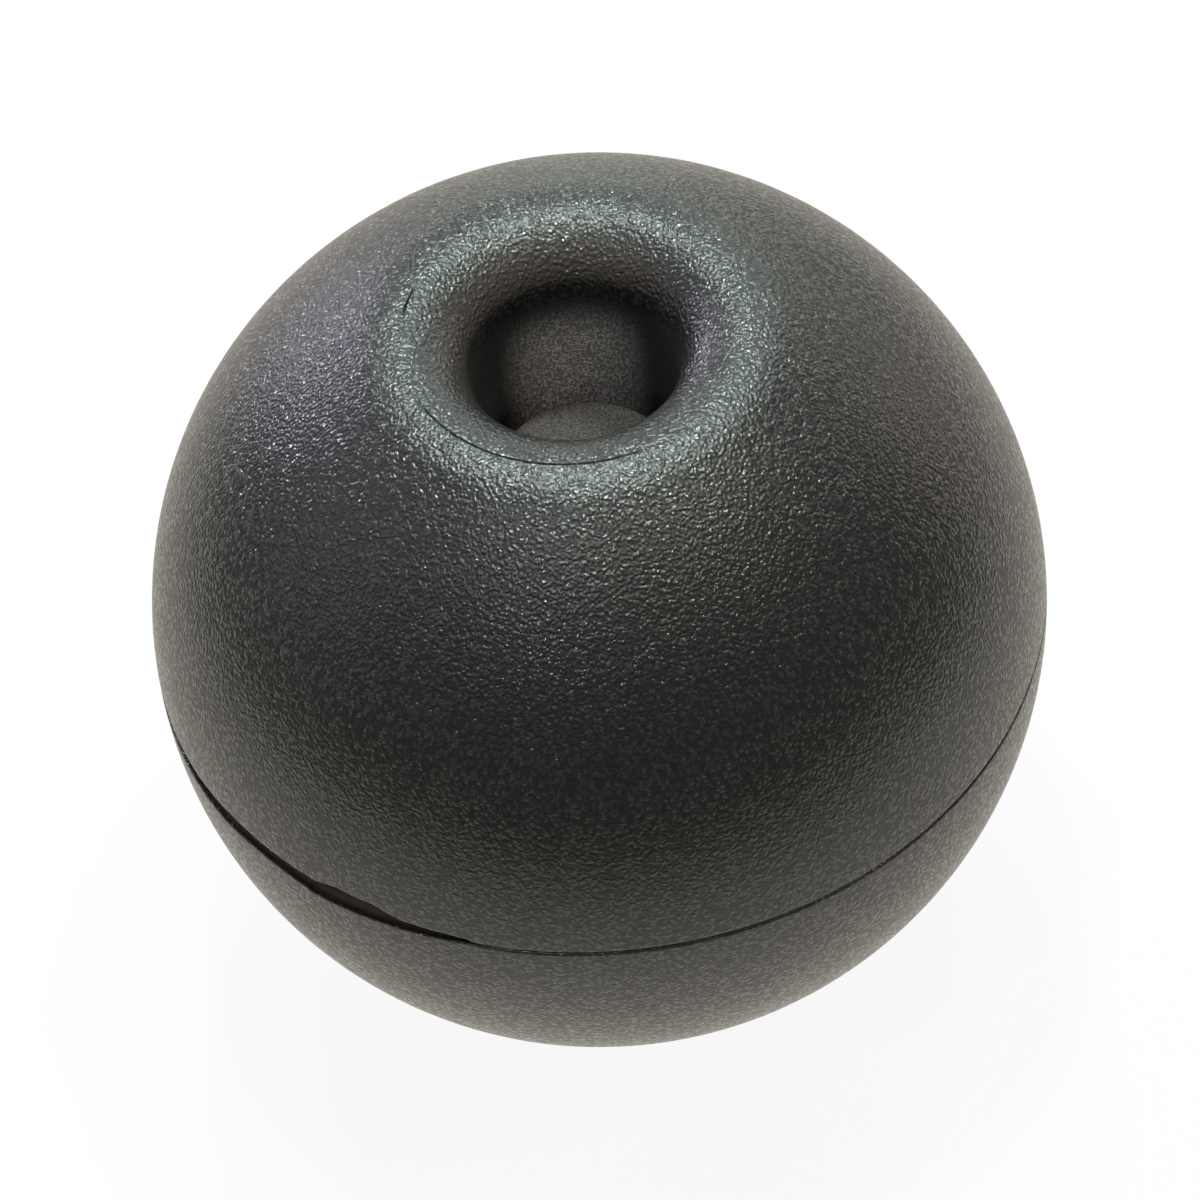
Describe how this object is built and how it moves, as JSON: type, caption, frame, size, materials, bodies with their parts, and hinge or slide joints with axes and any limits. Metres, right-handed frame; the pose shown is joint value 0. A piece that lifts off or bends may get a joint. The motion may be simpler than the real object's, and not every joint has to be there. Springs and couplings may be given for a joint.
{
  "type": "ball knob",
  "caption": "Black moulded ball knob made of an upper and a lower half, with a flared round mouth, a plain bore for the end of a rod or tube, and a post standing in the bore.",
  "frame": {"origin": "lowest point of the ball, on the axis of the bore", "axes": "+Z along the axis of the bore, out of the mouth. The two halves meet in a plane across +Z at half the ball's height. -Y is the side that the picture looks at, and the open stretch of the joint lies between -X and -Y."},
  "size_m": [0.04, 0.04, 0.0381],
  "materials": {
    "grained_plastic": "fine pebbled mould grain with a satin sheen"
  },
  "bodies": {
    "root": {"upper_half": "grained_plastic", "lower_half": "grained_plastic"}
  },
  "joints": []
}
